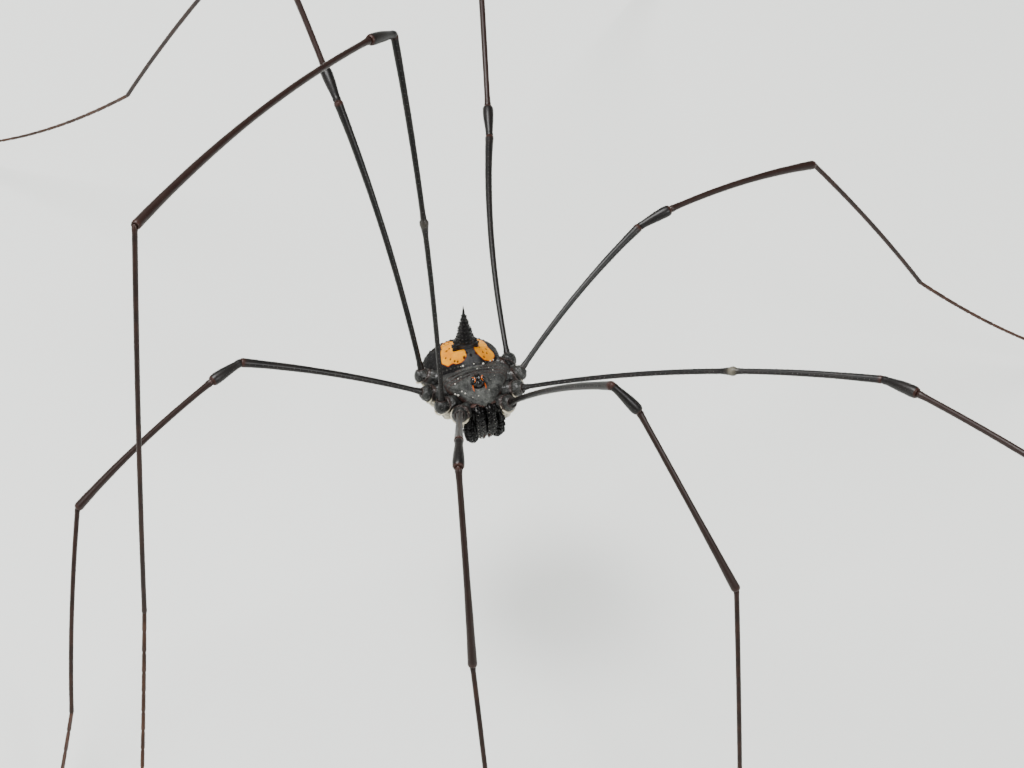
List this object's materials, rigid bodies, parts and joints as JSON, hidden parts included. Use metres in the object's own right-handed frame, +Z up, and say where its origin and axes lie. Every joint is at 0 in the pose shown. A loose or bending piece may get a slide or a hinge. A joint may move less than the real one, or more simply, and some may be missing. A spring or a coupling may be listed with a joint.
{
  "type": "long-legged harvestman with a back spine",
  "caption": "Harvestman standing on very long thin legs, with a domed body, an upright spine on its back and a raised eye mound.",
  "frame": {"origin": "under the middle of the bounding box, on the floor", "axes": "-Y is the way the animal faces, +X its left side, +Z up from the floor it stands on"},
  "size_m": [0.1026, 0.1386, 0.049],
  "materials": {
    "carapace": "charcoal grey, finely wrinkled and grainy",
    "scutum": "black-brown, with a pair of orange patches and small dark pits",
    "spine": "black, covered in small blunt tubercles, smooth at the tip",
    "eye_mound": "shiny black with small orange marks",
    "eye": "glassy black lens with an orange rim",
    "coxa": "satin dark grey with cream joint membranes",
    "leg_black": "shiny black, finely grainy",
    "leg_brown": "dark reddish brown, satin",
    "tarsus": "brown, many short joints",
    "mouthparts": "black, ridged and grainy with pale grains"
  },
  "bodies": {
    "root": {"leg_r1_coxa": "coxa", "leg_r1_femur": "leg_black", "leg_r1_patella": "leg_black", "leg_r1_tibia": "leg_black", "leg_r1_metatarsus": "leg_brown", "leg_r1_tarsus": "tarsus", "leg_r2_coxa": "coxa", "leg_r2_femur": "leg_black", "leg_r2_patella": "leg_black", "leg_r2_tibia": "leg_black", "leg_r2_metatarsus": "leg_brown", "leg_r2_tarsus": "tarsus", "leg_r3_coxa": "coxa", "leg_r3_femur": "leg_black", "leg_r3_patella": "leg_black", "leg_r3_tibia": "leg_black", "leg_r3_metatarsus": "leg_brown", "leg_r3_tarsus": "tarsus", "leg_r4_coxa": "coxa", "leg_r4_femur": "leg_black", "leg_r4_patella": "leg_black", "leg_r4_tibia": "leg_black", "leg_r4_metatarsus": "leg_brown", "leg_r4_tarsus": "tarsus", "leg_l1_coxa": "coxa", "leg_l1_femur": "leg_black", "leg_l1_patella": "leg_black", "leg_l1_tibia": "leg_black", "leg_l1_metatarsus": "leg_brown", "leg_l1_tarsus": "tarsus", "leg_l2_coxa": "coxa", "leg_l2_femur": "leg_black", "leg_l2_patella": "leg_black", "leg_l2_tibia": "leg_black", "leg_l2_metatarsus": "leg_brown", "leg_l2_tarsus": "tarsus", "leg_l3_coxa": "coxa", "leg_l3_femur": "leg_black", "leg_l3_patella": "leg_black", "leg_l3_tibia": "leg_black", "leg_l3_metatarsus": "leg_brown", "leg_l3_tarsus": "tarsus", "leg_l4_coxa": "coxa", "leg_l4_femur": "leg_black", "leg_l4_patella": "leg_black", "leg_l4_tibia": "leg_black", "leg_l4_metatarsus": "leg_brown", "leg_l4_tarsus": "tarsus", "prosoma": "carapace", "opisthosoma": "scutum", "spine": "spine", "eye_mound": "eye_mound", "eye_r": "eye", "eye_l": "eye", "chelicera_r": "mouthparts", "chelicera_l": "mouthparts", "pedipalp_r": "mouthparts", "pedipalp_l": "mouthparts"}
  },
  "joints": []
}
